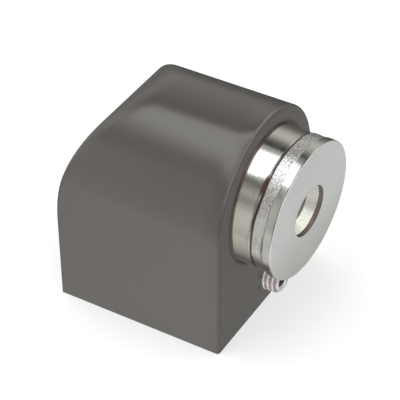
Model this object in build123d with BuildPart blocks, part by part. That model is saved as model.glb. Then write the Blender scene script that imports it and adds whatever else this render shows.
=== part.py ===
from build123d import *
import math
import os

# Floor-standing magnetic door stop, millimetres.
# Origin: centre of the housing's base. +X faces the door (the magnet's side), +Z is up.

# ---- housing -------------------------------------------------------------------------
width = 36.0              # across the end face (Y)
depth = 35.8              # from the back to the end face (X)
height = 44.1             # crest of the arch
arch_r = width / 2        # semicircular top of the end face
arch_z = height - arch_r  # its centre height
back_straight = 18.15     # the back stands upright to this height
back_a = 15.4             # then curves over the top: half axes of the quarter ellipse, X
back_b = height + 0.12 - back_straight  # and Z (its flat top just clears the arch's crest)
mitre_r = 1.2             # softened edge where back and arch meet, and down the back corners
face_r = 0.3              # edge of the end face
wall = 3.0                # wall of the casting

# ---- magnet pocket -------------------------------------------------------------------
pocket_r = 13.9           # pocket in the end face
pocket_z = 27.0           # its centre height
pocket_floor_x = 12.8     # its floor
pocket_wall = 2.6         # metal behind the floor
boss_r = 5.0              # boss behind it, tapped for the magnet's screw
boss_x = 3.5              # where the boss ends

# ---- grub screw ----------------------------------------------------------------------
grub_r = 3.0              # M6
grub_z = 7.1              # axis height
grub_x0 = 9.95            # inner end, against the floor plate's lug
grub_x1 = 21.95           # outer end, proud of the face
grub_boss_r = 5.4         # thickened wall around its thread
grub_boss_x = 12.0
socket_af = 3.0           # hexagon socket across flats
socket_depth = 3.4

# ---- floor plate ---------------------------------------------------------------------
plate_t = 3.0
plate_x0 = -depth / 2 + wall      # its rear edge lies against the back wall
plate_x1 = grub_x0                # outer face of the lug
plate_w = width - 2 * wall - 0.3
lug_w = 17.0
lug_h = 12.0
bend_r = 0.8                      # inside radius of the bend
floor_hole_r = 2.25               # for countersunk 4 mm floor screws
floor_hole_pitch = 16.0           # across, along Y
floor_hole_x = -4.0
floor_sink_r = 4.3

# ---- magnet and counter plate: one tilted axis ----------------------------------------
tilt_down = 2.5           # degrees, the disc faces look slightly down
tilt_side = -2.2          # degrees, and slightly towards -Y
disc_c = (27.02, -0.25, 26.45)    # centre of the counter plate's outer face
disc_t = 4.5              # counter plate thickness
disc_r = 14.0             # its smooth band
band_t = 1.75             # length of the smooth band left by the punch
torn_r = 13.5             # torn zone behind it
torn_r2 = 13.35
torn_step = 0.35
disc_edge = 0.3           # rolled edge of the outer face
hole_r = 3.0              # screw hole
sink_r = 5.2              # mouth of the countersink
sink_lip = 1.0            # straight lip before its 90 degree cone

cup_r = 13.6              # magnet cup
cup_h = 8.5
cup_edge = 0.8            # rounded rim
cup_wall = 2.2
cup_floor = 2.5
cup_hole_r = 3.5
ring_gap = 0.05
ring_r0 = 6.0             # hole through the ring magnet
ring_recess = 0.15        # the magnet lies this far below the cup's rim
washer_r0 = 4.2           # rubber washer behind the cup
washer_r1 = 10.0

screw_r = 2.5             # M5 screw that holds the magnet
screw_head_r = 4.6
screw_head_x = 16.92      # underside of the head
screw_head_t = 2.8
screw_x0 = 5.0            # its tip
thread_play = 0.01        # radial room left between the plain threads of the model

os.makedirs("parts", exist_ok=True)

# The magnet's axis, as a plane on the counter plate's outer face.
cy, sy = math.cos(math.radians(tilt_down)), math.sin(math.radians(tilt_down))
cz, sz = math.cos(math.radians(tilt_side)), math.sin(math.radians(tilt_side))
axis_dir = Vector(cy * cz, cy * sz, -sy)
side_dir = Vector(-sz, cz, 0)
disc_plane = Plane(origin=disc_c, x_dir=side_dir, z_dir=axis_dir)


def along(s):
    """The disc plane moved s mm along the tilted axis."""
    return disc_plane.offset(s)


# ---------------------------------------------------------------------------------------
# The space inside the housing: follows the outside at wall thickness, and leaves the pot
# of the magnet's pocket, the boss behind it and the thick pad around the grub screw.
inner_r = arch_r - wall
with BuildPart() as hollow:
    with BuildSketch(Plane.YZ.offset(-depth / 2 + wall)):
        with BuildLine():
            Polyline(
                (-inner_r, arch_z), (-inner_r, -1), (inner_r, -1), (inner_r, arch_z)
            )
            CenterArc((0, arch_z), inner_r, 0, 180)
        make_face()
    extrude(amount=depth - 2 * wall)
    with BuildSketch(Plane.XZ):
        with BuildLine():
            Polyline(
                (-depth / 2 + wall, back_straight),
                (-depth / 2 + wall, -1),
                (depth / 2 - wall, -1),
                (depth / 2 - wall, back_straight + back_b - wall),
                (-depth / 2 + back_a, back_straight + back_b - wall),
            )
            EllipticalCenterArc(
                (-depth / 2 + back_a, back_straight),
                back_a - wall,
                back_b - wall,
                90,
                arc_size=90,
            )
        make_face()
    extrude(amount=width, both=True, mode=Mode.INTERSECT)
    # pot around the pocket
    with BuildSketch(Plane.YZ.offset(pocket_floor_x - pocket_wall)):
        with Locations((0, pocket_z)):
            Circle(pocket_r + 2.4)
    extrude(amount=depth, mode=Mode.SUBTRACT)
    # boss for the magnet's screw
    with BuildSketch(Plane.YZ.offset(boss_x)):
        with Locations((0, pocket_z)):
            Circle(boss_r)
    extrude(amount=depth, mode=Mode.SUBTRACT)
    # pad around the grub screw
    with BuildSketch(Plane.YZ.offset(grub_boss_x)):
        with Locations((0, grub_z)):
            Circle(grub_boss_r)
    extrude(amount=depth, mode=Mode.SUBTRACT)

# Housing: an arched bar cut to a curved back, hollow and open below.
with BuildPart() as housing:
    with BuildSketch(Plane.YZ.offset(-depth / 2)):
        with BuildLine():
            Polyline((-arch_r, arch_z), (-arch_r, 0), (arch_r, 0), (arch_r, arch_z))
            CenterArc((0, arch_z), arch_r, 0, 180)
        make_face()
    extrude(amount=depth)
    with BuildSketch(Plane.XZ):
        with BuildLine():
            Polyline(
                (-depth / 2, back_straight),
                (-depth / 2, 0),
                (depth / 2, 0),
                (depth / 2, back_straight + back_b),
                (-depth / 2 + back_a, back_straight + back_b),
            )
            EllipticalCenterArc(
                (-depth / 2 + back_a, back_straight), back_a, back_b, 90, arc_size=90
            )
        make_face()
    extrude(amount=width, both=True, mode=Mode.INTERSECT)

    # softened back edges: up the corners and round the mitre with the arch
    def on_back(e):
        for q in (e @ 0.0, e @ 0.5, e @ 1.0):
            z_arch = arch_z + math.sqrt(max(arch_r**2 - q.Y**2, 0.0))
            u = (q.X + depth / 2 - back_a) / back_a
            z_back = back_straight + back_b * math.sqrt(max(1 - u * u, 0.0))
            on_arch = abs(abs(q.Y) - arch_r) < 1e-3 or abs(q.Z - z_arch) < 2e-2
            on_curve = abs(q.X + depth / 2) < 1e-3 or abs(q.Z - z_back) < 2e-2
            if not (on_arch and on_curve and q.X < -depth / 2 + back_a + 0.5):
                return False
        return (e @ 0.5).Z > 1e-6

    fillet(housing.edges().filter_by(on_back), mitre_r)
    end_face = housing.faces().filter_by(Axis.X).sort_by(Axis.X)[-1]
    fillet(end_face.edges().filter_by(lambda e: (e @ 0.5).Z > 1e-3), face_r)

    add(hollow.part, mode=Mode.SUBTRACT)
    # the magnet's pocket
    with BuildSketch(Plane.YZ.offset(pocket_floor_x)):
        with Locations((0, pocket_z)):
            Circle(pocket_r)
    extrude(amount=depth, mode=Mode.SUBTRACT)
    # tapped hole for the magnet's screw, through the boss
    with BuildSketch(Plane.YZ.offset(boss_x - 1)):
        with Locations((0, pocket_z)):
            Circle(screw_r)
    extrude(amount=depth / 2, mode=Mode.SUBTRACT)
    # tapped hole for the grub screw
    with BuildSketch(Plane.YZ.offset(grub_boss_x - 1)):
        with Locations((0, grub_z)):
            Circle(grub_r)
    extrude(amount=depth / 2, mode=Mode.SUBTRACT)
housing.part.label = "housing"
export_step(housing.part, "parts/housing.step")

# Floor plate: a flat flange with two countersunk holes and a bent-up lug.
bend_out = bend_r + plate_t
with BuildPart() as floor_plate:
    with BuildSketch(Plane.XY):
        with Locations(((plate_x0 + plate_x1 - bend_out) / 2, 0)):
            RectangleRounded(plate_x1 - bend_out - plate_x0, plate_w, 1.2)
    extrude(amount=plate_t)
    # the bend and the lug, one strip
    with BuildSketch(Plane.XZ):
        with BuildLine():
            Polyline(
                (plate_x1 - bend_out, 0),
                (plate_x1 - bend_out - 4, 0),
                (plate_x1 - bend_out - 4, plate_t),
                (plate_x1 - bend_out, plate_t),
            )
            CenterArc((plate_x1 - bend_out, bend_out), bend_r, -90, 90)
            Polyline(
                (plate_x1 - plate_t, bend_out),
                (plate_x1 - plate_t, lug_h),
                (plate_x1, lug_h),
                (plate_x1, bend_out),
            )
            CenterArc((plate_x1 - bend_out, bend_out), bend_out, -90, 90)
        make_face()
    extrude(amount=lug_w / 2, both=True)
    with Locations((floor_hole_x, 0, plate_t)):
        with GridLocations(0, floor_hole_pitch, 1, 2):
            CounterSinkHole(floor_hole_r, floor_sink_r)
    lug_corners = floor_plate.edges().filter_by(Axis.X).group_by(Axis.Z)[-1]
    fillet(lug_corners, 2.0)
floor_plate.part.label = "floor_plate"
export_step(floor_plate.part, "parts/floor_plate.step")

# Grub screw: hexagon socket, chamfered outer end, cup point on the lug.
with BuildPart() as set_screw:
    with BuildSketch(Plane.YZ.offset(grub_x0)):
        with Locations((0, grub_z)):
            Circle(grub_r - thread_play)
    extrude(amount=grub_x1 - grub_x0)
    ends = set_screw.faces().filter_by(Axis.X).sort_by(Axis.X)
    chamfer(ends[-1].edges(), 0.5)
    chamfer(ends[0].edges(), 1.0)
    with BuildSketch(Plane.YZ.offset(grub_x1 - socket_depth)):
        with Locations((0, grub_z)):
            RegularPolygon(socket_af / 2, 6, major_radius=False, rotation=30)
    extrude(amount=socket_depth + 1, mode=Mode.SUBTRACT)
    with BuildSketch(Plane.YZ.offset(grub_x0)):
        with Locations((0, grub_z)):
            Circle(1.4)
    extrude(amount=0.6, taper=45, mode=Mode.SUBTRACT)
set_screw.part.label = "set_screw"
export_step(set_screw.part, "parts/set_screw.step")

# Everything round the tilted axis is turned: profiles are (radius, distance along the
# axis from the counter plate's outer face).
profile_plane = Plane(
    origin=disc_c, x_dir=side_dir, z_dir=side_dir.cross(axis_dir)
)
turn_axis = Axis(disc_c, axis_dir)
s_magnet = -disc_t                 # front of the magnet
s_back = s_magnet - cup_h          # back of its cup

# Counter plate: punched disc, smooth band and torn zone, countersunk hole.
with BuildPart() as counter_plate:
    with BuildSketch(profile_plane):
        with BuildLine():
            Polyline(
                (disc_r, -disc_edge),
                (disc_r, -band_t),
                (torn_r, -band_t - torn_step),
                (torn_r2, -disc_t),
                (hole_r, -disc_t),
                (hole_r, -sink_lip - (sink_r - hole_r)),
                (sink_r, -sink_lip),
                (sink_r, 0),
                (disc_r - disc_edge, 0),
            )
            CenterArc((disc_r - disc_edge, -disc_edge), disc_edge, 0, 90)
        make_face()
    revolve(axis=turn_axis)
counter_plate.part.label = "counter_plate"
export_step(counter_plate.part, "parts/counter_plate.step")

# Magnet cup: drawn steel, rounded rim, plain hole in its floor.
with BuildPart() as magnet_cup:
    with BuildSketch(profile_plane):
        with BuildLine():
            Polyline(
                (cup_r, s_magnet - cup_edge),
                (cup_r, s_back + 0.4),
                (cup_r - 0.4, s_back),
                (cup_hole_r, s_back),
                (cup_hole_r, s_back + cup_floor),
                (cup_r - cup_wall, s_back + cup_floor),
                (cup_r - cup_wall, s_magnet),
                (cup_r - cup_edge, s_magnet),
            )
            CenterArc((cup_r - cup_edge, s_magnet - cup_edge), cup_edge, 0, 90)
        make_face()
    revolve(axis=turn_axis)
magnet_cup.part.label = "magnet_cup"
export_step(magnet_cup.part, "parts/magnet_cup.step")

# Ring magnet, bonded into the cup just below its rim.
with BuildPart() as ring_magnet:
    with BuildSketch(profile_plane):
        with BuildLine():
            Polyline(
                (ring_r0, s_magnet - ring_recess),
                (cup_r - cup_wall - ring_gap, s_magnet - ring_recess),
                (cup_r - cup_wall - ring_gap, s_back + cup_floor),
                (ring_r0, s_back + cup_floor),
                close=True,
            )
        make_face()
    revolve(axis=turn_axis)
ring_magnet.part.label = "ring_magnet"
export_step(ring_magnet.part, "parts/ring_magnet.step")

# Rubber washer: squeezed to a slight wedge between the tilted cup and the pocket's floor.
with BuildPart() as cushion_washer:
    with BuildSketch(along(s_back)):
        Circle(washer_r1)
        Circle(washer_r0, mode=Mode.SUBTRACT)
    extrude(amount=-4)
    split(bisect_by=Plane.YZ.offset(pocket_floor_x), keep=Keep.TOP)
cushion_washer.part.label = "cushion_washer"
export_step(cushion_washer.part, "parts/cushion_washer.step")

# The magnet's screw: square to the housing, its cheese head inside the ring magnet.
with BuildPart() as magnet_screw:
    with BuildSketch(Plane.YZ.offset(screw_x0)):
        with Locations((0, pocket_z)):
            Circle(screw_r - thread_play)
    extrude(amount=screw_head_x - screw_x0)
    tip = magnet_screw.faces().filter_by(Axis.X).sort_by(Axis.X)[0]
    chamfer(tip.edges(), 0.5)
    with BuildSketch(Plane.YZ.offset(screw_head_x)):
        with Locations((0, pocket_z)):
            Circle(screw_head_r)
    extrude(amount=screw_head_t)
    crown = magnet_screw.faces().filter_by(Axis.X).sort_by(Axis.X)[-1]
    fillet(crown.edges(), 0.5)
    with BuildSketch(Plane.YZ.offset(screw_head_x + screw_head_t - 1.8)):
        with Locations((0, pocket_z)):
            RegularPolygon(2.0, 6, major_radius=False, rotation=30)
    extrude(amount=3, mode=Mode.SUBTRACT)
magnet_screw.part.label = "magnet_screw"
export_step(magnet_screw.part, "parts/magnet_screw.step")
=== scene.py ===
import bmesh
import bpy
import math
from mathutils import Matrix, Vector, noise

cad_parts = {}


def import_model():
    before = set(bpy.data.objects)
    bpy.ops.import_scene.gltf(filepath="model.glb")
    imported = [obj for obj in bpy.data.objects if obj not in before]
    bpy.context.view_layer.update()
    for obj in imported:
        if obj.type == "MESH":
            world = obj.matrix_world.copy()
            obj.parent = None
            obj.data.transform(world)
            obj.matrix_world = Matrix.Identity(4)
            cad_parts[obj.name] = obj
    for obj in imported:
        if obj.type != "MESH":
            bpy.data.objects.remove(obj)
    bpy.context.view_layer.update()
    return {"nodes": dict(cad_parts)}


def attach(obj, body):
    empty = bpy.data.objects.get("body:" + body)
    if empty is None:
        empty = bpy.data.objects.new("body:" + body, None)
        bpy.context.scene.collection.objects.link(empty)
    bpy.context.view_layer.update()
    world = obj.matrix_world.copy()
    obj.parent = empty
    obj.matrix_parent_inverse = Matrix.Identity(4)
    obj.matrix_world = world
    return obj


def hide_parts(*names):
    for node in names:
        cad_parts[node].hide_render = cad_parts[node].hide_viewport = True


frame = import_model()

MM = 0.001

# ---------------------------------------------------------------------------
# sizes shared with the solids (mm)
DISC_C = Vector((27.02, -0.25, 26.45))     # counter plate's outer face, centre
TILT_DOWN, TILT_SIDE = math.radians(2.5), math.radians(-2.2)
DISC_T, DISC_R = 4.5, 14.0
CUP_R, CUP_H = 13.6, 8.5
GRUB_Z, GRUB_X0, GRUB_X1 = 7.1, 9.95, 21.95

AX = Vector((math.cos(TILT_DOWN) * math.cos(TILT_SIDE),
             math.cos(TILT_DOWN) * math.sin(TILT_SIDE),
             -math.sin(TILT_DOWN)))
U = Vector((-math.sin(TILT_SIDE), math.cos(TILT_SIDE), 0.0))
V = AX.cross(U)


def on_axis(r, th, s):
    """Point at radius r, angle th and distance s along the tilted axis, in metres."""
    p = DISC_C + AX * s + (U * math.cos(th) + V * math.sin(th)) * r
    return p * MM


# ---------------------------------------------------------------------------
# node helpers
class Mat:
    """A material with a Principled shader and short calls for its nodes."""

    def __init__(self, name):
        self.m = bpy.data.materials.new(name)
        self.m.use_nodes = True
        self.t = self.m.node_tree
        self.t.nodes.clear()
        self.out = self.t.nodes.new("ShaderNodeOutputMaterial")
        self.b = self.t.nodes.new("ShaderNodeBsdfPrincipled")
        self.link(self.b.outputs[0], self.out.inputs[0])
        self.coord = self.t.nodes.new("ShaderNodeTexCoord").outputs["Object"]

    def link(self, a, b):
        self.t.links.new(a, b)

    def set(self, **kw):
        for k, v in kw.items():
            self.b.inputs[k.replace("_", " ")].default_value = v

    def mapping(self, scale=(1, 1, 1), loc=(0, 0, 0), rot=(0, 0, 0), src=None):
        n = self.t.nodes.new("ShaderNodeMapping")
        n.inputs["Scale"].default_value = scale
        n.inputs["Location"].default_value = loc
        n.inputs["Rotation"].default_value = rot
        self.link(src or self.coord, n.inputs["Vector"])
        return n.outputs[0]

    def noise(self, scale, detail=4.0, rough=0.55, src=None, dist=0.0):
        n = self.t.nodes.new("ShaderNodeTexNoise")
        n.inputs["Scale"].default_value = scale
        n.inputs["Detail"].default_value = detail
        n.inputs["Roughness"].default_value = rough
        n.inputs["Distortion"].default_value = dist
        self.link(src or self.coord, n.inputs["Vector"])
        return n.outputs["Fac"]

    def voronoi(self, scale, feature="F1", src=None):
        n = self.t.nodes.new("ShaderNodeTexVoronoi")
        n.feature = feature
        n.inputs["Scale"].default_value = scale
        self.link(src or self.coord, n.inputs["Vector"])
        return n.outputs["Distance"]

    def ramp(self, fac, stops, interp="LINEAR"):
        n = self.t.nodes.new("ShaderNodeValToRGB")
        n.color_ramp.interpolation = interp
        e = n.color_ramp.elements
        while len(e) < len(stops):
            e.new(0.5)
        for k, (p, c) in enumerate(stops):
            e[k].position = p
            e[k].color = (*c, 1) if len(c) == 3 else c
        self.link(fac, n.inputs[0])
        return n.outputs[0]

    def remap(self, v, a, b, lo, hi):
        n = self.t.nodes.new("ShaderNodeMapRange")
        n.clamp = True
        for k, x in zip(("From Min", "From Max", "To Min", "To Max"), (a, b, lo, hi)):
            n.inputs[k].default_value = x
        self.link(v, n.inputs["Value"])
        return n.outputs[0]

    def mix(self, fac, a, b, mode="MIX"):
        n = self.t.nodes.new("ShaderNodeMix")
        n.data_type = "RGBA"
        n.blend_type = mode
        for sock, val in ((n.inputs[0], fac), (n.inputs[6], a), (n.inputs[7], b)):
            if isinstance(val, (int, float)):
                sock.default_value = val
            elif isinstance(val, tuple):
                sock.default_value = (*val, 1)
            else:
                self.link(val, sock)
        return n.outputs[2]

    def math(self, op, a, b=0.0):
        n = self.t.nodes.new("ShaderNodeMath")
        n.operation = op
        for sock, val in zip(n.inputs, (a, b)):
            if isinstance(val, (int, float)):
                sock.default_value = val
            else:
                self.link(val, sock)
        return n.outputs[0]

    def attr(self, name):
        n = self.t.nodes.new("ShaderNodeAttribute")
        n.attribute_name = name
        return n

    def height(self):
        """Object-space Z, in metres."""
        n = self.t.nodes.new("ShaderNodeSeparateXYZ")
        self.link(self.coord, n.inputs[0])
        return n.outputs["Z"]

    def around(self, stops, tint, wobble, scale, fine=0.0):
        """Painted reflections: colour by angle round the turned axis (degrees up from the -Y side), edges frayed. The
        band from 53 to 76 degrees is left untinted as a painted highlight.
        """
        a = self.attr("turn").outputs["Fac"]
        n = self.math("MULTIPLY_ADD", self.noise(scale, 4.0, 0.65), wobble)
        n.node.inputs[2].default_value = -wobble / 2
        a = self.math("ADD", a, n)
        if fine:
            n = self.math("MULTIPLY_ADD", self.noise(scale * 7, 3.0, 0.7), fine)
            n.node.inputs[2].default_value = -fine / 2
            a = self.math("ADD", a, n)
        return self.ramp(a, [((d + 180.0) / 360.0, tuple(v * c for c in t))
                             for d, v, t in ((d, v, tint if d < 53 or d > 76 else (1, 1, 1))
                                             for d, v in stops)])

    def bump(self, height, dist, strength=1.0, prev=None):
        n = self.t.nodes.new("ShaderNodeBump")
        n.inputs["Distance"].default_value = dist
        n.inputs["Strength"].default_value = strength
        self.link(height, n.inputs["Height"])
        if prev is not None:
            self.link(prev, n.inputs["Normal"])
        return n.outputs[0]

    def color(self, c):
        self.link(c, self.b.inputs["Base Color"])

    def rough(self, r):
        self.link(r, self.b.inputs["Roughness"])

    def normal(self, n):
        self.link(n, self.b.inputs["Normal"])


# ---------------------------------------------------------------------------
# materials
def paint(name, rim=False, edge=False):
    """Graphite satin paint on a casting: very faint mottling and orange peel. On the end face it is duller, with
    painted shade darkening it close to the pocket, and a pale band on the upper arch's edge is a painted highlight."""
    m = Mat(name)
    broad = m.noise(34.0, 2.0, 0.5)
    base = (m.ramp(broad, [(0.3, (0.0635, 0.0570, 0.0498)), (0.7, (0.0668, 0.0600, 0.0530))]))
    m.rough(m.remap(m.noise(90.0, 2.0, 0.5), 0.3, 0.7, 0.175, 0.205))
    m.normal(m.bump(m.noise(260.0, 1.0, 0.4), 0.00003, 0.05))
    m.set(Specular_IOR_Level=0.5)
    if rim:
        far = m.t.nodes.new("ShaderNodeVectorMath")
        far.operation = "LENGTH"
        m.link(m.mapping(scale=(0, 1, 1), loc=(0, 0, -0.027)), far.inputs[0])
        dist = far.outputs["Value"]
        # painted shade: the end-face paint darkens towards the pocket's rim
        pocket_shade = m.ramp(m.remap(dist, 0.0139, 0.0179, 0.0, 1.0),
                       [(0.0, (0.34, 0.31, 0.30)), (0.08, (0.45, 0.42, 0.41)), (0.16, (0.84, 0.82, 0.81)), (1.0, (0.97, 0.96, 0.95))])
        m.link(m.remap(dist, 0.0140, 0.0150, 0.18, 0.47), m.b.inputs["Specular IOR Level"])
        base = m.mix(1.0, base, pocket_shade, "MULTIPLY")
    if edge:
        sep = m.t.nodes.new("ShaderNodeSeparateXYZ")
        m.link(m.coord, sep.inputs[0])
        # painted highlight: a pale band on the rounded edge of the upper arch
        edge_highlight = m.ramp(m.remap(sep.outputs["X"], 0.0172, 0.0179, 0.0, 1.0),
                      [(0.0, (0, 0, 0)), (0.30, (0.9, 0.9, 0.9)), (0.70, (0.9, 0.9, 0.9)), (0.97, (0.15, 0.15, 0.15))])
        high = m.remap(sep.outputs["Z"], 0.027, 0.041, 0.0, 1.0)
        base = m.mix(m.math("MULTIPLY", edge_highlight, high), base, (0.122, 0.114, 0.106))
    m.color(base)
    return m.m


def plain_metal(name, col, dark, r0, r1, scale=300.0, bump=0.00001, metallic=1.0):
    m = Mat(name)
    c = m.noise(scale, 5.0, 0.6)
    m.color(m.ramp(c, [(0.3, dark), (0.7, col)]))
    m.rough(m.remap(m.noise(scale * 2.2, 4.0, 0.6), 0.3, 0.7, r0, r1))
    m.normal(m.bump(m.noise(scale * 6.0, 3.0, 0.6), bump, 0.5))
    m.set(Metallic=metallic)
    return m.m


def rubber():
    m = Mat("black_rubber")
    c = m.noise(260.0, 4.0, 0.6)
    m.color(m.ramp(c, [(0.3, (0.018, 0.018, 0.018)), (0.7, (0.032, 0.031, 0.030))]))
    m.rough(m.remap(c, 0.3, 0.7, 0.62, 0.8))
    m.normal(m.bump(m.noise(1800.0, 2.0, 0.5), 0.00001, 0.5))
    return m.m


PAINT = paint("graphite_paint_satin")
PAINT_END = paint("graphite_paint_end_face", True)
PAINT_EDGE_HIGHLIGHT = paint("graphite_paint_edge_highlight", False, True)
# pocket wall: dark brown, made darker as painted shade in the gap round the cup
POCKET = plain_metal("pocket_wall_brown_painted_shade", (0.062, 0.043, 0.038), (0.046, 0.031, 0.027), 0.6, 0.75,
                     metallic=0.0)
ZINC = plain_metal("zinc_plated_plate", (0.62, 0.63, 0.64), (0.46, 0.47, 0.48), 0.28, 0.42)
ZINC_SCREW = plain_metal("zinc_plated_screw", (0.64, 0.64, 0.63), (0.5, 0.5, 0.49), 0.22, 0.35)
FERRITE = plain_metal("ferrite_magnet", (0.075, 0.074, 0.078), (0.05, 0.05, 0.052), 0.5, 0.7,
                      metallic=0.0)
RUBBER = rubber()


# ---------------------------------------------------------------------------
# mesh helpers
def mesh_object(name, verts, faces, mats, face_mat=None, angle=35.0):
    me = bpy.data.meshes.new(name)
    me.from_pydata(verts, [], faces)
    me.validate()
    for m in mats:
        me.materials.append(m)
    if face_mat:
        me.polygons.foreach_set("material_index", face_mat)
    me.polygons.foreach_set("use_smooth", [True] * len(me.polygons))
    me.set_sharp_from_angle(angle=math.radians(angle))
    ob = bpy.data.objects.new(name, me)
    bpy.context.scene.collection.objects.link(ob)
    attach(ob, "root")
    return ob


def spread(points, step):
    """Splits each run of a closed profile into pieces of about the given length, in mm."""
    out = []
    for k, (a, b) in enumerate(zip(points, points[1:] + points[:1])):
        d = step[k] if isinstance(step, (list, tuple)) else step
        n = max(1, round(math.dist(a, b) / d))
        out += [(a[0] + (b[0] - a[0]) * i / n, a[1] + (b[1] - a[1]) * i / n) for i in range(n)]
    return out


def turned(name, rings, seg, mats, shape=None, angle=35.0, ring_mat=None):
    """A closed turned ring: rings are (radius, s); shape(r, s, th, k) may move a point."""
    verts, faces, fm = [], [], []
    n = len(rings)
    for j in range(seg):
        th = 2 * math.pi * j / seg
        for k, (r, s) in enumerate(rings):
            if shape:
                r, s = shape(r, s, th, k)
            verts.append(on_axis(r, th, s))
    for j in range(seg):
        a, b = j * n, ((j + 1) % seg) * n
        for k in range(n):
            k2 = (k + 1) % n
            faces.append((a + k, b + k, b + k2, a + k2))
            fm.append(ring_mat(rings[k], rings[k2]) if ring_mat else 0)
    return mesh_object(name, verts, faces, mats, fm, angle)


def arc(cx, cy, r, a0, a1, n):
    return [(cx + r * math.cos(math.radians(a0 + (a1 - a0) * i / n)),
             cy + r * math.sin(math.radians(a0 + (a1 - a0) * i / n))) for i in range(n + 1)]


# ---------------------------------------------------------------------------
# counter plate: punched disc. Smooth band behind the outer face, torn zone at the rear.
def ease(x, a, b):
    t = min(max((x - a) / (b - a), 0.0), 1.0)
    return t * t * (3 - 2 * t)


def add_brown_shade(m, metal_tone, rough, brown=(0.074, 0.045, 0.033)):
    """Brown painted shade and painted reflection where the per-vertex weight says, over the metal's colour."""
    brown_shade = m.attr("brown_shade").outputs["Fac"]
    patchy = m.math("MULTIPLY", brown_shade, m.remap(m.noise(900.0, 4.0, 0.6), 0.2, 0.6, 0.95, 1.0))
    m.color(m.mix(patchy, metal_tone, brown))
    m.rough(m.math("MAXIMUM", rough, m.math("MULTIPLY", patchy, 0.42)))


def write_shade_and_turn(ob, fn):
    """Writes each vertex's weight of painted shade (from its radius, angle, distance along the axis and X) and its
    turn round the axis, 0.5 on the -Y side and 0.75 at the top."""
    vals, turn = [], []
    for v in ob.data.vertices:
        p = Vector(v.co) * 1000 - DISC_C
        s = p.dot(AX)
        up = math.degrees(math.atan2(-p.dot(V), -p.dot(U)) if V.z < 0 else math.atan2(p.dot(V), -p.dot(U)))
        vals.append(min(max(fn((p - AX * s).length, up, s, v.co.x * 1000), 0.0), 1.0))
        turn.append((up + 180.0) / 360.0)
    for name, data in (("brown_shade", vals), ("turn", turn)):
        ob.data.attributes.new(name, "FLOAT", "POINT").data.foreach_set("value", data)


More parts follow.
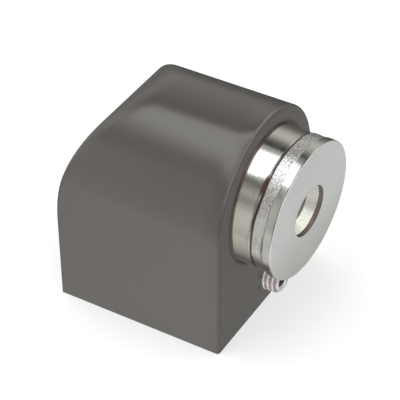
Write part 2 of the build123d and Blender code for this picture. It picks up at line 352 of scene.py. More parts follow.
def counter_plate():
    face = Mat("nickel_satin_face")
    c = face.noise(120.0, 4.0, 0.6)
    # painted shade: the face darkens and turns yellower towards its bottom
    low = face.remap(face.height(), 0.0125, 0.0255, 1.0, 0.0)
    face.color(face.mix(low, face.ramp(c, [(0.3, (0.66, 0.68, 0.665)), (0.7, (0.71, 0.725, 0.71))]),
                        face.ramp(c, [(0.3, (0.47, 0.48, 0.42)), (0.7, (0.52, 0.53, 0.465))])))
    face.rough(face.remap(face.noise(500.0, 4.0, 0.6), 0.3, 0.7, 0.30, 0.40))
    face.normal(face.bump(face.noise(1600.0, 3.0, 0.6), 0.000008, 0.4))
    face.set(Metallic=0.5)

    band = Mat("nickel_smooth_band")
    # painted reflections round the axis, with a painted highlight from 53 to 76 degrees
    metal_tone = band.around([(-20, 0.50), (-6, 0.37), (4, 0.25), (12, 0.32), (19, 0.255), (30, 0.295), (40, 0.335),
                         (47, 0.21), (51.5, 0.14), (54.5, 0.50), (70, 0.47), (75, 0.11), (81, 0.065),
                         (87, 0.30), (100, 0.55), (109, 0.85), (125, 0.92)], (1, 0.975, 0.87), 0.022, 500.0, 0.012)
    add_brown_shade(band, metal_tone, band.remap(band.noise(420.0, 4.0, 0.6), 0.3, 0.7, 0.13, 0.22))
    band.normal(band.bump(band.noise(900.0, 4.0, 0.65), 0.00002, 0.35))
    band.set(Metallic=1.0)

    torn = Mat("nickel_torn_edge")
    big = torn.noise(4600.0, 3.0, 0.7)
    # painted reflections round the axis, with a painted highlight from 53 to 76 degrees
    reflection_tone = torn.around([(-30, 0.45), (-8, 0.55), (0, 0.325), (20, 0.365), (31, 0.31), (42, 0.325), (47, 0.42),
                        (53, 0.62), (72, 0.60), (78, 0.28), (88, 0.40), (100, 0.55), (112, 0.9)],
                       (1, 0.99, 0.935), 0.03, 500.0, 0.05)
    grit = torn.ramp(big, [(0.38, (0.30, 0.29, 0.28)), (0.54, (1.18, 1.18, 1.18))])
    calm = torn.ramp(torn.attr("turn").outputs["Fac"], [(0.5, (0.22,) * 3), (0.575, (0.32,) * 3), (0.605, (1, 1, 1))])
    metal_tone = torn.mix(torn.math("MULTIPLY", calm, 1.0), reflection_tone, torn.mix(1.0, reflection_tone, grit, "MULTIPLY"))
    add_brown_shade(torn, metal_tone, torn.remap(torn.noise(1500.0, 4.0, 0.6), 0.3, 0.7, 0.22, 0.4))
    rip = torn.bump(torn.noise(4200.0, 3.0, 0.7), 0.00005, 0.8)
    torn.link(torn.math("MULTIPLY", calm, 0.8), rip.node.inputs["Strength"])
    torn.normal(rip)
    torn.set(Metallic=1.0)

    sink = Mat("nickel_countersink")
    # painted glint: bright from -134 to -95 degrees round the bore, painted reflection tones elsewhere
    reflection_tone = sink.around([(-180, 0.52), (-160, 0.50), (-146, 0.52), (-134, 0.74), (-124, 0.86), (-112, 0.93), (-95, 0.98), (-80, 0.8),
                        (60, 0.5), (180, 0.52)], (1, 0.99, 0.88), 0.03, 500.0, 0.03)
    c = sink.noise(2200.0, 4.0, 0.65)
    metal_tone = sink.mix(1.0, reflection_tone, sink.ramp(c, [(0.36, (0.84, 0.84, 0.82)), (0.6, (1.03, 1.03, 1.03))]), "MULTIPLY")
    # the colour given here is the painted shade in the ring inside the bore
    add_brown_shade(sink, metal_tone, sink.remap(sink.noise(900.0, 4.0, 0.6), 0.3, 0.7, 0.22, 0.36), (0.12, 0.11, 0.095))
    sink.normal(sink.bump(sink.noise(1500.0, 4.0, 0.65), 0.00004, 0.5))
    sink.set(Metallic=0.1)

    lip = Mat("nickel_hole_lip")
    c = lip.noise(500.0, 4.0, 0.6)
    # painted shade: the lip is coloured dark brown for the shade at the hole's mouth
    lip.color(lip.ramp(c, [(0.35, (0.108, 0.082, 0.068)), (0.7, (0.155, 0.126, 0.106))]))
    lip.rough(lip.remap(c, 0.3, 0.7, 0.35, 0.5))
    lip.normal(lip.bump(lip.noise(1500.0, 3.0, 0.6), 0.00003, 0.4))
    lip.set(Metallic=0.7)

    outline = (
        [(3.0, -4.5), (3.0, -3.2), (5.2, -1.0), (5.2, -0.1), (5.23, -0.03), (5.3, 0.0)]
        + [(DISC_R - 0.3, 0.0)] + arc(DISC_R - 0.3, -0.3, 0.3, 75, 0, 5)
        + [(DISC_R, -1.35), (DISC_R, -4.42), (DISC_R - 0.08, -4.5)]
    )
    steps = [0.5, 0.08, 0.3, 1, 1, 1.2] + [1] + [1] * 5 + [0.3, 0.075, 0.1, 1.2]
    rings = spread(outline, steps)

    def shape(r, s, th, k):
        if r > 12.9 and s < -0.31:
            x, y = math.cos(th) * 14.0, math.sin(th) * 14.0
            edge = -1.75 + 0.16 * noise.noise(Vector((x * 0.45, y * 0.45, 3.0)))
            edge += 0.09 * noise.noise(Vector((x * 2.4, y * 2.4, 9.0)))
            t = ease(edge - s, -0.12, 0.5)
            high = math.sin(th) if V.z > 0 else -math.sin(th)
            deep = (0.12 + 0.38 * ease(high, 0.3, 0.5) + 0.26 * ease(-high, 0.2, 0.34) + 0.055 * max(0.0, -1.95 - s)) * (1.0 - ease(high, 0.62, 0.92))
            deep += 0.25 * ease(-s, 4.15, 4.5)
            rough = 0.05 * noise.fractal(Vector((x * 2.6, y * 2.6, s * 2.0)), 1.0, 2.0, 4)
            rough += 0.035 * noise.noise(Vector((x * 6.5, y * 6.5, s * 5.0)))
            return min(r - t * (deep - rough * (0.3 + 0.7 * ease(high, 0.35, 0.6))), DISC_R), s
        return r, s

    def ring_mat(a, b):
        r, s = (a[0] + b[0]) / 2, (a[1] + b[1]) / 2
        if r > 13.85 and s < -1.75:
            return 2
        if r > 13.72 and s < -0.12:
            return 1
        if r < 5.25 and s < -1.0:
            return 3
        if r < 5.25 and s < -0.02:
            return 4
        return 0

    ob = turned("counter_plate_disc", rings, 560,
                [face.m, band.m, torn.m, sink.m, lip.m], shape, 40.0, ring_mat)

    def shade_map(r, up, s, x):
        # painted shade: a dark ring just inside the bore's edge
        if r < 6.0:
            return ease(3.60 - r, 0.0, 0.12)
        if r < 12.4 or s > -0.3:
            return 0.0
        # painted reflection: brown towards the bottom of the band and torn edge; painted shade in the groove along the
        # rear edge
        low = ease(-up, 11.0, 20.0) if s > -1.75 else ease(-up, 5.0, 26.0)
        return max(ease(-s, 4.1, 4.3), low * (up > -150))

    write_shade_and_turn(ob, shade_map)
    ob.visible_glossy = ob.visible_diffuse = ob.visible_shadow = False
    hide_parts("counter_plate")
    return ob


# magnet cup: bright drawn shell with a rounded rim
def magnet_cup():
    mat = Mat("nickel_bright_cup")
    c = mat.noise(120.0, 5.0, 0.6, dist=0.5)
    # painted reflections round the axis: a white painted highlight from 53 to 76 degrees, dark bands beside it, beige
    # below
    reflection_tone = mat.around([(-20, 0.56), (-6, 0.35), (3, 0.21), (12, 0.28), (22, 0.33), (28, 0.23), (31, 0.175),
                       (34, 0.20), (38, 0.29), (43, 0.265), (47, 0.15), (51, 0.135), (54, 0.48),
                       (72, 0.46), (75, 0.13), (80, 0.080), (85, 0.17), (91, 0.38), (100, 0.52),
                       (110, 0.85), (125, 0.92)], (1, 0.975, 0.845), 0.012, 420.0, 0.02)
    metal_tone = mat.mix(1.0, reflection_tone, mat.ramp(c, [(0.3, (0.93, 0.93, 0.93)), (0.7, (1.05, 1.05, 1.05))]), "MULTIPLY")
    add_brown_shade(mat, metal_tone, mat.remap(mat.noise(420.0, 5.0, 0.65), 0.3, 0.75, 0.08, 0.15))
    hair = mat.noise(60.0, 6.0, 0.7, src=mat.mapping(scale=(60.0, 3.0, 3.0)))
    mat.normal(mat.bump(hair, 0.000004, 0.3, mat.bump(mat.noise(1500.0, 4.0, 0.65), 0.000012, 0.5)))
    mat.set(Metallic=1.0)
    s0, s1 = -DISC_T, -DISC_T - CUP_H
    outline = (
        [(CUP_R, s1 + 0.4), (CUP_R - 0.12, s1 + 0.12), (CUP_R - 0.4, s1), (3.5, s1),
         (3.5, s1 + 2.5), (CUP_R - 2.2, s1 + 2.5), (CUP_R - 2.2, s0 - 0.1), (CUP_R - 2.1, s0)]
        + arc(CUP_R - 0.5, s0 - 0.5, 0.5, 90, 0, 8)
        + [(CUP_R, s0 - d) for d in (0.57, 0.64, 0.71, 0.78, 0.88, 1.0)]
    )
    rings = spread(outline, [1, 1, 2, 2, 2, 2, 1, 1] + [1] * 14 + [0.2])

    def shape(r, s, th, k):
        if r > CUP_R - 0.01 and s1 + 0.5 < s < s0 - 0.9:
            x, y = math.cos(th) * 13.5, math.sin(th) * 13.5
            return r - 0.006 * (1 + noise.noise(Vector((x * 0.5, y * 0.5, s * 0.5)))), s
        return r, s

    ob = turned("magnet_cup_shell", rings, 360, [mat.m], shape, 30.0)

    def shade_map(r, up, s, x):
        # painted shade in the groove by the plate (seam, wedge and line), painted reflection of dark surroundings
        # towards the bottom, and painted reflection of the pocket next to the housing
        wedge = ease(up, 36.0, 43.0) * (1.0 - ease(up, 52.0, 60.0)) * ease(s, -5.45, -5.15)
        line = 0.45 * math.exp(-((s + 5.16) / 0.07) ** 2) * (1.0 - ease(up, 60.0, 80.0))
        seam = ease(s, -4.74, -4.62) if up < 60 else ease(s, -4.85, -4.7)
        return max(seam, wedge, line, 1.0 * ease(-up, 0.0, 30.0) * (up > -150), 0.95 * ease(18.3 - x, 0.0, 0.25))

    write_shade_and_turn(ob, shade_map)
    ob.visible_glossy = ob.visible_diffuse = ob.visible_shadow = False
    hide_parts("magnet_cup")
    return ob


# grub screw: rolled M6 thread, chamfered end, hexagon socket
def grub_screw():
    mat = Mat("dark_screw_steel")
    c = mat.noise(900.0, 5.0, 0.6)
    depth = mat.attr("crest").outputs["Fac"]
    # painted shade in the thread roots and painted highlight on the crests
    dark = mat.ramp(c, [(0.3, (0.30, 0.235, 0.25)), (0.7, (0.40, 0.335, 0.35))])
    light = mat.ramp(c, [(0.3, (0.74, 0.69, 0.69)), (0.7, (0.88, 0.84, 0.84))])
    sep = mat.t.nodes.new("ShaderNodeSeparateXYZ")
    mat.link(mat.coord, sep.inputs[0])
    steel = mat.mix(mat.remap(depth, 0.55, 0.95, 0.0, 1.0), dark, light)
    off = mat.t.nodes.new("ShaderNodeVectorMath")
    off.operation = "LENGTH"
    mat.link(mat.mapping(scale=(0, 1, 1), loc=(0, 0, -0.0071)), off.inputs[0])
    # painted shade: the inside of the hexagon socket is near black
    socket = mat.math("MULTIPLY", mat.math("LESS_THAN", off.outputs["Value"], 0.00178),
                      mat.math("LESS_THAN", sep.outputs["X"], 0.02165))
    steel = mat.mix(socket, steel, (0.03, 0.027, 0.028))
    # painted shade: the first turn by the end face is flat dark grey
    mat.color(mat.mix(mat.remap(sep.outputs["X"], 0.01865, 0.01905, 1.0, 0.0), steel, (0.125, 0.116, 0.108)))
    mat.rough(mat.remap(c, 0.3, 0.7, 0.22, 0.36))
    mat.normal(mat.bump(mat.noise(2400.0, 3.0, 0.6), 0.000012, 0.5))
    mat.set(Metallic=0.6)

    seg, pitch, major, minor = 96, 1.0, 2.97, 2.39
    length = GRUB_X1 - GRUB_X0
    rows = int(length / pitch * 16)
    verts, crest, faces = [], [], []

    def thread_r(th, x):
        t = (x / pitch - th / (2 * math.pi)) % 1.0
        d = abs(t - 0.5) * 2               # 0 at the crest, 1 at the root
        k = min(max((d - 0.16) / 0.60, 0.0), 1.0)
        k = k * k * (3 - 2 * k) * 0.35 + k * 0.65
        return major - (major - minor) * k, 1 - k

    def add(x, r, th, w):
        verts.append((x * MM, r * math.cos(th) * MM, (GRUB_Z + r * math.sin(th)) * MM))
        crest.append(w)

    ths = [2 * math.pi * j / seg for j in range(seg)]
    inner_end = [0.0, 0.35, 1.4]
    # outer surface rows, from the cup point to the chamfered end
    profile = []
    for i in range(rows + 1):
        x = GRUB_X0 + length * i / rows
        profile.append(x)
    for x in profile:
        for th in ths:
            r, w = thread_r(th, x)
            lim_out = 2.42 + (GRUB_X1 - x) * 1.15
            lim_in = 2.0 + (x - GRUB_X0) * 1.0
            if r > min(lim_out, lim_in):
                r, w = min(lim_out, lim_in), 1.0
            add(x, r, th, w)
    n = len(profile)

    def rim(i, j):
        return i * seg + j % seg

    for i in range(n - 1):
        for j in range(seg):
            faces.append((rim(i, j), rim(i, j + 1), rim(i + 1, j + 1), rim(i + 1, j)))

    def stitch(a, b):
        for j in range(seg):
            faces.append((a + j, a + (j + 1) % seg, b + (j + 1) % seg, b + j))

    def ring(x, fr, w):
        k = len(verts)
        for th in ths:
            add(x, fr(th), th, w)
        return k

    def hexr(th, af=3.0):
        a = (th + math.radians(4.0)) % math.radians(60) - math.radians(30)
        return af / 2 / math.cos(a)

    # outer end: narrow land, small chamfer into the socket, walls and drilled bottom
    last = (n - 1) * seg
    a = ring(GRUB_X1, lambda th: max(hexr(th) + 0.16, 1.85), 1.0)
    stitch(last, a)
    b = ring(GRUB_X1 - 0.22, hexr, 0.9)
    stitch(a, b)
    prev = b
    for x in (1.0, 2.0, 3.0):
        c2 = ring(GRUB_X1 - x, hexr, 0.35)
        stitch(prev, c2)
        prev = c2
    c3 = ring(GRUB_X1 - 3.1, lambda th: 1.3, 0.3)
    stitch(prev, c3)
    tip = len(verts)
    add(GRUB_X1 - 3.4, 0.0, 0.0, 0.3)
    for j in range(seg):
        faces.append((c3 + j, c3 + (j + 1) % seg, tip))
    # cup point at the inner end
    d = ring(GRUB_X0, lambda th: 1.4, 0.8)
    for j in range(seg):
        faces.append((rim(0, j + 1), rim(0, j), d + j, d + (j + 1) % seg))
    tip = len(verts)
    add(GRUB_X0 + 0.55, 0.0, 0.0, 0.5)
    for j in range(seg):
        faces.append((d + (j + 1) % seg, d + j, tip))
    ob = mesh_object("grub_screw_threaded", verts, faces, [mat.m], None, 42.0)
    at = ob.data.attributes.new("crest", "FLOAT", "POINT")
    at.data.foreach_set("value", crest)
    ob.visible_glossy = ob.visible_diffuse = ob.visible_shadow = False
    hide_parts("set_screw")
    return ob


# ---------------------------------------------------------------------------
# housing: arched bar cut to a curved back. The mitre between the two is polished soft
# near the crown and stays crisp down the back corners.
W2, DEEP2, HIGH = 18.0, 17.9, 44.1
ARCH_Z = HIGH - W2
BACK_A, BACK_B, BACK_Z = 15.4, 25.95, 18.15
BACK_X = -DEEP2 + BACK_A
POCKET_R, POCKET_Z, POCKET_X = 13.9, 27.0, 12.8
FACE_R = 0.6


def g_arch(y, z):
    return abs(y) - W2 if z < ARCH_Z else math.hypot(y, z - ARCH_Z) - W2


def g_back(x, z):
    if z <= BACK_Z:
        return -x - DEEP2
    if x >= BACK_X:
        return z - HIGH
    p, q = (x - BACK_X) / BACK_A, (z - BACK_Z) / BACK_B
    v = math.hypot(p, q)
    g = math.hypot(p / BACK_A, q / BACK_B) / v
    return (v - 1.0) / g


def blend_k(z):
    t = min(max((z - 22.0) / 17.0, 0.0), 1.0)
    return 0.35 + 1.45 * t * t * (3 - 2 * t)


def body(x, y, z):
    a, b, k = g_arch(y, z), g_back(x, z), blend_k(z)
    h = max(k - abs(a - b), 0.0) / k
    return max(a, b) + h * h * k * 0.25


def settle(x, y, z):
    """Moves a point near the skin onto it, down the field's own slope."""
    for _ in range(5):
        v = body(x, y, z)
        if abs(v) < 1e-5:
            break
        e = 0.01
        gx = (body(x + e, y, z) - body(x - e, y, z)) / (2 * e)
        gy = (body(x, y + e, z) - body(x, y - e, z)) / (2 * e)
        gz = (body(x, y, z + e) - body(x, y, z - e)) / (2 * e) if z > 0.02 else 0.0
        g2 = gx * gx + gy * gy + gz * gz
        x, y, z = x - v * gx / g2, y - v * gy / g2, z - v * gz / g2
    return x, y, z


def housing_skin():
    verts, faces = [], []

    def add(x, y, z):
        verts.append((x * MM, y * MM, z * MM))
        return len(verts) - 1

    # section stations from the foot of the -Y side to the crest
    sect = [(-W2, z) for z in (0.0, 3.0, 6.5, 10.0, 13.0, 15.5, 17.0, 18.15)]
    sect += [(-W2, 18.15 + (ARCH_Z - 18.15) * i / 9) for i in range(1, 10)]
    n_arc = 72
    for i in range(1, n_arc + 1):
        a = math.radians(90.0 * i / n_arc)
        sect.append((-W2 * math.cos(a), ARCH_Z + W2 * math.sin(a)))
    nv = len(sect)

    def mitre_x(z):
        if z <= BACK_Z:
            return -DEEP2
        q = min((z - BACK_Z) / BACK_B, 1.0)
        return BACK_X - BACK_A * math.sqrt(max(1 - q * q, 0.0))

    grade = [0.0, .06, .12, .19, .27, .36, .46, .58, .72, .88, 1.06, 1.28, 1.54, 1.85, 2.2,
             2.6, 3.1, 3.7, 4.4, 5.2, 6.2, 7.4, 9.0]
    arcs = [(FACE_R * math.sin(math.radians(a)), FACE_R * (1 - math.cos(math.radians(a))))
            for a in (90, 72, 54, 36, 18, 0)]      # (along X from the flat, inset)
    side = {}
    for sgn in (1, -1):
        grid = []
        for (y, z) in sect:
            ny, nz = (-1.0, 0.0) if z <= ARCH_Z else (y / W2, (z - ARCH_Z) / W2)
            row = []
            for dx, inset in arcs:
                zz = z - nz * inset if z > 0 else 0.0
                row.append((DEEP2 - FACE_R + dx, (y - ny * inset), zz))
            xm = mitre_x(z)
            far = xm + 9.0
            for i in range(1, 6):
                row.append((DEEP2 - FACE_R + (far - DEEP2 + FACE_R) * i / 6, y, z))
            for g in reversed(grade):
                row.append((xm + g, y, z))
            out = []
            for c, (x, yy, zz) in enumerate(row):
                if c >= len(arcs):
                    x, yy, zz = settle(x, yy, zz)
                out.append(add(x, yy * sgn, zz))
            grid.append(out)
        side[sgn] = grid
        nc = len(grid[0])
        for i in range(nv - 1):
            for c in range(nc - 1):
                q = (grid[i][c], grid[i][c + 1], grid[i + 1][c + 1], grid[i + 1][c])
                faces.append(q if sgn < 0 else q[::-1])
    nc = len(side[1][0])
    # back sheet: a level row at each station, shared with both side sheets
    rows = []
    for i, (y, z) in enumerate(sect):
        half = -y
        xm = mitre_x(z)
        use = [g for g in grade if g < half * 0.92]
        mid = max(0, int((half - (use[-1] if use else 0)) / 1.6)) if half > 1 else 0
        left = [side[1][i][-1]]
        pts = [-half + g for g in use[1:]]
        if half > 0.3:
            last = use[-1]
            rest = half - last
            n = max(1, mid)
            pts += [-half + last + rest * j / n for j in range(1, n)]
            pts = pts + [0.0] + [-p for p in reversed(pts)]
        ids = []
        for p in pts:
            ids.append(add(*settle(xm, p, z)))
        rows.append((left + ids + [side[-1][i][-1]], [-half] + pts + [half]))
    for i in range(nv - 1):
        a, pa = rows[i]
        b, pb = rows[i + 1]
        ia = ib = 0
        while ia < len(a) - 1 or ib < len(b) - 1:
            can_a, can_b = ia < len(a) - 1, ib < len(b) - 1
            fa = (pa[ia + 1] if can_a else 1e9)
            fb = (pb[ib + 1] if can_b else 1e9)
            if can_a and can_b and abs((fa - pa[0]) / max(-2 * pa[0], 1e-6)
                                       - (fb - pb[0]) / max(-2 * pb[0], 1e-6)) < 1e-6:
                faces.append((a[ia], b[ib], b[ib + 1], a[ia + 1]))
                ia, ib = ia + 1, ib + 1
            elif can_a and (not can_b or fa <= fb):
                faces.append((a[ia], b[ib], a[ia + 1]))
                ia += 1
            else:
                faces.append((a[ia], b[ib], b[ib + 1]))
                ib += 1

    seg = 240

    def circle(x, r, zc, n=seg):
        return [add(x, r * math.cos(2 * math.pi * j / n), zc + r * math.sin(2 * math.pi * j / n))
                for j in range(n)]

    def stitch(p, q):
        n = len(p)
        for j in range(n):
            faces.append((p[j], q[j], q[(j + 1) % n], p[(j + 1) % n]))

    # flat of the end face, between its rounded edge, the pocket and the grub screw's hole
    sharp_loops = []
    outer = [r[0] for r in side[1]] + [r[0] for r in reversed(side[-1])][1:]
    lip = circle(DEEP2, POCKET_R + 0.12, POCKET_Z)
    hole = circle(DEEP2, 3.12, GRUB_Z, 64)
    sharp_loops += [outer, lip, hole]
    flats = [("face", [outer, lip, hole])]
    # pocket
    c1 = circle(DEEP2 - 0.12, POCKET_R, POCKET_Z)
    stitch(c1, lip)
    prev = c1
    for x in (16.0, 14.4, POCKET_X + 0.25):
        c = circle(x, POCKET_R, POCKET_Z)
        stitch(c, prev)
        prev = c
    c = circle(POCKET_X, POCKET_R - 0.25, POCKET_Z)
    stitch(c, prev)
    prev = c
    for r in (10.0, 6.0, 2.75):
        c = circle(POCKET_X, r, POCKET_Z)
        stitch(c, prev)
        prev = c
    # grub screw's hole
    c = circle(DEEP2 - 0.12, 3.0, GRUB_Z, 64)
    stitch(c, hole)
    c2 = circle(12.15, 3.0, GRUB_Z, 64)
    stitch(c2, c)
    # foot: flat ring round the hollow
    foot_out = [side[1][0][c] for c in range(nc)] + rows[0][0][1:-1] + \
               [side[-1][0][c] for c in reversed(range(nc))]
    inner = [add(x, y, 0.0) for x, y in ((14.9, -15.0), (14.9, 15.0), (-14.9, 15.0), (-14.9, -15.0))]
    flats.append(("foot", [foot_out, inner]))
    sharp_loops += [foot_out]

    me = bpy.data.meshes.new("housing_cast")
    me.from_pydata(verts, [], faces)
    bm = bmesh.new()
    bm.from_mesh(me)
    bm.verts.ensure_lookup_table()
    for _, loops in flats:
        edges = []
        for lp in loops:
            for j in range(len(lp)):
                if lp is outer and j == len(lp) - 1:
                    pass
                u, v = bm.verts[lp[j]], bm.verts[lp[(j + 1) % len(lp)]]
                if u == v:
                    continue
                e = bm.edges.get((u, v)) or bm.edges.new((u, v))
                edges.append(e)
        bmesh.ops.triangle_fill(bm, use_beauty=True, use_dissolve=False, edges=edges)
    for lp in sharp_loops:
        for j in range(len(lp)):
            e = bm.edges.get((bm.verts[lp[j]], bm.verts[lp[(j + 1) % len(lp)]])) if lp[j] != lp[(j + 1) % len(lp)] else None
            if e:
                e.smooth = False
    # hollow, bosses and tapped hole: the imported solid's own inner faces
    src = frame["nodes"]["housing"].data
    new = {}
    for p in src.polygons:
        c = p.center * 1000
        rad, rg = math.hypot(c.y, c.z - POCKET_Z), math.hypot(c.y, c.z - GRUB_Z)
        if max(body(c.x, c.y, c.z), c.x - DEEP2) > -0.7 or c.z < 0.01:
            continue
        if c.x > POCKET_X - 0.05 and rad < POCKET_R + 0.1:
            continue
        if c.x > 11.9 and rg < 3.1 and not abs(c.x - 12.0) < 0.02:
            continue
        ids = []
        for v in p.vertices:
            if v not in new:
                new[v] = bm.verts.new(src.vertices[v].co)
            ids.append(new[v])
        try:
            bm.faces.new(ids)
        except ValueError:
            pass
    bmesh.ops.remove_doubles(bm, verts=bm.verts[:], dist=0.000004)
    # join the skin to the two inner holes
    for near in ((POCKET_X, POCKET_Z, 2.9), (12.07, GRUB_Z, 3.1)):
        gap = [e for e in bm.edges if e.is_boundary and all(
            abs(v.co.x * 1000 - near[0]) < 0.1 and math.hypot(v.co.y * 1000, v.co.z * 1000 - near[1]) < near[2]
            for v in e.verts)]
        bmesh.ops.bridge_loops(bm, edges=gap)
    bmesh.ops.recalc_face_normals(bm, faces=bm.faces[:])
    bm.to_mesh(me)
    bm.free()
    me.materials.append(PAINT)
    me.materials.append(POCKET)
    me.materials.append(PAINT_END)
    me.materials.append(PAINT_EDGE_HIGHLIGHT)
    for p in me.polygons:
        c = p.center * 1000
        if 12.9 < c.x < 17.86 and math.hypot(c.y, c.z - POCKET_Z) < POCKET_R + 0.1:
            p.material_index = 1
        elif c.x > 17.85 and abs(p.normal.x) > 0.99:
            p.material_index = 2
        # the rounded edge of the upper arch gets the paint with the painted highlight
        elif c.x > 17.2 and body(c.x - 0.8, c.y, c.z) > -0.65 and c.z > 20.0:
            p.material_index = 3
    me.polygons.foreach_set("use_smooth", [True] * len(me.polygons))
    keep = [e.use_edge_sharp for e in me.edges]
    me.set_sharp_from_angle(angle=math.radians(32))
    for e, k in zip(me.edges, keep):
        if k:
            e.use_edge_sharp = True
    ob = bpy.data.objects.new("housing_cast", me)
    bpy.context.scene.collection.objects.link(ob)
    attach(ob, "root")
    ob.visible_glossy = False
    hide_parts("housing")
    return ob


def dress(node, mat):
    ob = frame["nodes"][node]
    if node != "floor_plate":
        ob.visible_glossy = ob.visible_diffuse = ob.visible_shadow = False    # shut inside the cup
    for s in ob.material_slots:
        s.material = mat
    if not ob.material_slots:
        ob.data.materials.append(mat)


counter_plate()
magnet_cup()
grub_screw()
housing_skin()
dress("floor_plate", ZINC)
dress("cushion_washer", RUBBER)
dress("ring_magnet", FERRITE)
dress("magnet_screw", ZINC_SCREW)

# ---------------------------------------------------------------------------
# plain pale floor
fm = Mat("pale_floor")
fm.color(fm.ramp(fm.noise(6.0, 2.0, 0.5), [(0.3, (0.60, 0.60, 0.60)), (0.7, (0.62, 0.62, 0.62))]))
fm.set(Roughness=0.9, Specular_IOR_Level=0.1, Emission_Color=(1, 1, 1, 1), Emission_Strength=0.45)
bpy.ops.mesh.primitive_plane_add(size=6.0, location=(0, 0, -0.00005))
floor = bpy.context.object
floor.name = "floor"
floor.data.materials.append(fm.m)
floor.visible_glossy = False

# ---------------------------------------------------------------------------
# soft studio light, all of it in the world: one softbox overhead with soft edges, and
# broad fills (elevation, azimuth, strength) that fade into one another
BOX = 2.36
FILLS = [
    (-38, 72, 0.50), (-38, 144, 0.32), (-38, 240, 1.65), (-38, 264, 0.99), (-16, 60, 0.18), (-16, 120, 0.10),
    (-16, 160, 0.77), (-16, 200, 0.51), (-16, 220, 0.48), (-16, 240, 1.23), (-16, 260, 0.57), (4, 0, 0.11),
    (4, 20, 0.13), (4, 40, 0.16), (4, 60, 0.17), (4, 120, 0.11), (4, 140, 0.19), (4, 160, 0.18),
    (4, 180, 0.71), (4, 200, 0.94), (4, 220, 0.35), (4, 240, 1.19), (4, 260, 0.46), (4, 280, 0.17),
    (4, 300, 0.22), (4, 320, 0.18), (4, 340, 0.13), (24, 0, 0.33), (24, 20, 0.37), (24, 40, 0.39),
    (24, 60, 0.40), (24, 80, 0.27), (24, 120, 0.79), (24, 140, 0.38), (24, 160, 0.66), (24, 180, 0.25),
    (24, 200, 0.39), (24, 220, 1.32), (24, 240, 1.19), (24, 280, 0.55), (24, 300, 0.48), (24, 320, 0.41),
    (24, 340, 0.33), (44, 0, 0.52), (44, 24, 0.59), (44, 48, 0.62), (44, 72, 0.62), (44, 96, 1.14),
    (44, 168, 1.02), (44, 192, 1.18), (44, 240, 0.24), (44, 288, 0.38), (44, 312, 0.55), (44, 336, 0.50),
    (64, 0, 0.66), (64, 45, 0.76), (64, 135, 0.26), (64, 180, 0.67), (64, 225, 1.04), (64, 315, 0.57),
]


def toward(az, el):
    a, e = math.radians(az), math.radians(el)
    return Vector((math.cos(e) * math.cos(a), math.cos(e) * math.sin(a), math.sin(e)))


def edge(p, q):
    """Great circle through two directions, facing the middle of the softbox."""
    n = p.cross(q).normalized()
    return n if n.dot(toward(178, 62)) > 0 else -n


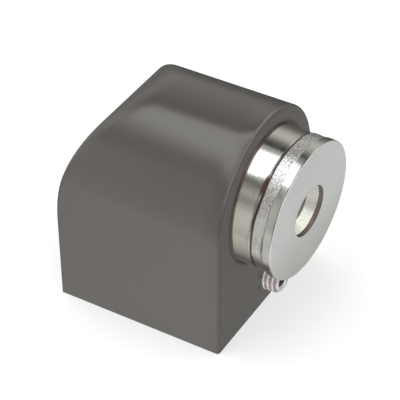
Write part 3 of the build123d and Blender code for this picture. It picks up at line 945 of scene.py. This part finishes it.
def world(fills, box, sharp=26.0, seen=1.0):
    w = bpy.data.worlds.new("studio")
    w.use_nodes = True
    t = w.node_tree
    t.nodes.clear()
    out = t.nodes.new("ShaderNodeOutputWorld")
    coord = t.nodes.new("ShaderNodeTexCoord").outputs["Generated"]

    def dot(v):
        n = t.nodes.new("ShaderNodeVectorMath")
        n.operation = "DOT_PRODUCT"
        n.inputs[1].default_value = v
        t.links.new(coord, n.inputs[0])
        return n.outputs["Value"]

    def calc(op, *args):
        n = t.nodes.new("ShaderNodeMath")
        n.operation = op
        for sock, v in zip(n.inputs, args):
            if isinstance(v, (int, float)):
                sock.default_value = v
            else:
                t.links.new(v, sock)
        return n.outputs[0]

    total = None
    for v, soft in ((edge(toward(-149, 59), toward(-133, 55)), 0.07),
                    (edge(toward(150, 55.5), toward(136, 57.5)), 0.07),
                    (edge(toward(170, 44), toward(-170, 44)), 0.25),
                    (edge(toward(90, 0), toward(180, 76)), 0.10)):
        n = t.nodes.new("ShaderNodeMapRange")
        n.interpolation_type = "SMOOTHSTEP"
        n.inputs["From Min"].default_value = -soft / 2
        n.inputs["From Max"].default_value = soft / 2
        t.links.new(dot(v), n.inputs["Value"])
        total = n.outputs[0] if total is None else calc("MULTIPLY", total, n.outputs[0])
    total = calc("MULTIPLY", total, box)
    for el, az, strength in fills:
        e = calc("EXPONENT", calc("MULTIPLY_ADD", dot(toward(az, el)), sharp, -sharp))
        total = calc("MULTIPLY_ADD", e, strength, total)
    lit = t.nodes.new("ShaderNodeBackground")
    t.links.new(total, lit.inputs["Color"])
    plain = t.nodes.new("ShaderNodeBackground")
    plain.inputs["Color"].default_value = (seen, seen, seen, 1)
    path = t.nodes.new("ShaderNodeLightPath")
    mix = t.nodes.new("ShaderNodeMixShader")
    t.links.new(path.outputs["Is Camera Ray"], mix.inputs[0])
    t.links.new(lit.outputs[0], mix.inputs[1])
    t.links.new(plain.outputs[0], mix.inputs[2])
    t.links.new(mix.outputs[0], out.inputs[0])
    bpy.context.scene.world = w
    return w


FILLS = [(el, az, w * (0.76 if 215 < az < 265 and el < 30 else 1.0)) for el, az, w in FILLS]
FILLS += [(24, 300, 0.5), (20, 330, 0.7), (14, 350, 0.7), (0, 10, 0.5), (-18, 30, 0.35)]
FILLS += [(-38, 288, 1.15), (-38, 312, 0.95), (-38, 336, 0.8), (-38, 0, 0.65), (-38, 24, 0.45)]
FILLS += [(-62, 0, 0.4), (-62, 60, 0.4), (-62, 120, 0.4), (-62, 180, 0.7), (-62, 235, 0.95), (-62, 290, 0.8), (-90, 0, 0.3)]
world(FILLS, BOX)

# ---------------------------------------------------------------------------
# camera at the photograph's place
R = ((0.8615420511, 0.5076629539, -0.0048599787),
     (0.3150268754, -0.5420821459, -0.7790410868),
     (-0.3981248070, 0.6696456319, -0.6269540380))
cam_data = bpy.data.cameras.new("camera")
cam_data.sensor_fit = "HORIZONTAL"
cam_data.sensor_width = 36.0
cam_data.lens = 36.0 * 1737.685 / 400.0
cam_data.clip_start, cam_data.clip_end = 0.01, 20.0
cam = bpy.data.objects.new("camera", cam_data)
bpy.context.scene.collection.objects.link(cam)
cam.matrix_world = Matrix((
    (R[0][0], -R[1][0], -R[2][0], 0.13700),
    (R[0][1], -R[1][1], -R[2][1], -0.22488),
    (R[0][2], -R[1][2], -R[2][2], 0.22987),
    (0, 0, 0, 1)))
bpy.context.scene.camera = cam
bpy.context.scene.view_settings.view_transform = "Standard"
